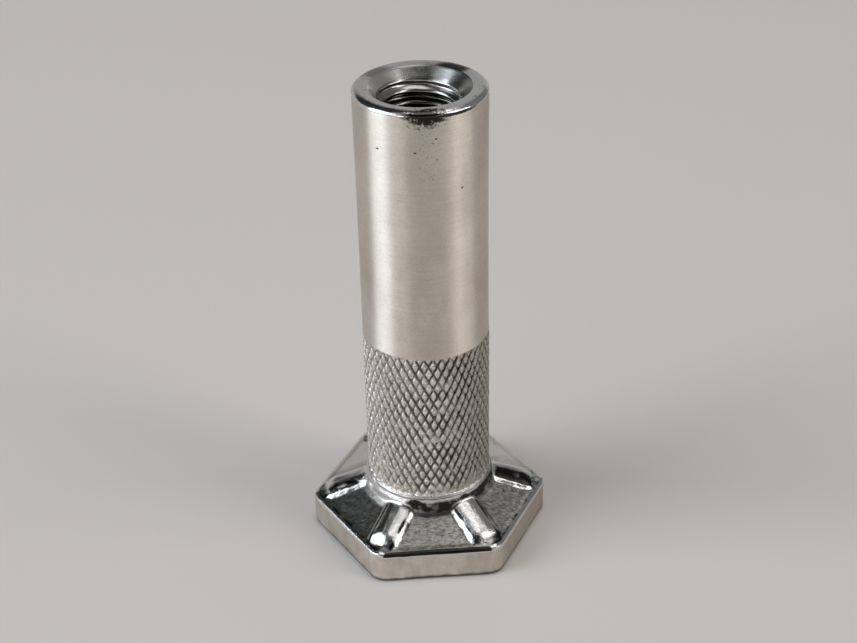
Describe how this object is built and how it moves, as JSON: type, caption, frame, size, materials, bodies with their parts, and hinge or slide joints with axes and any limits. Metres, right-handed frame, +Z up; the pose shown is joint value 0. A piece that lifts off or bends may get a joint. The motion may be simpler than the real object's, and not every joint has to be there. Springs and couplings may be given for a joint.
{
  "type": "threaded insert",
  "caption": "Steel insert with a blind threaded bore in a round shank, a diamond-knurled band and a ribbed hexagonal flange foot.",
  "frame": {"origin": "centre of the flat underside of the flange", "axes": "+Z up along the shank towards the mouth of the bore, -Y towards the flat of the flange that faces the front, +X towards a corner of the flange"},
  "size_m": [0.0248, 0.022, 0.05],
  "materials": {
    "plated_steel": "satin nickel-like plating, polished on the rim, the rib crowns and the flange's edges, and rough in the pockets"
  },
  "bodies": {
    "root": {"threaded_insert": "plated_steel"}
  },
  "joints": []
}
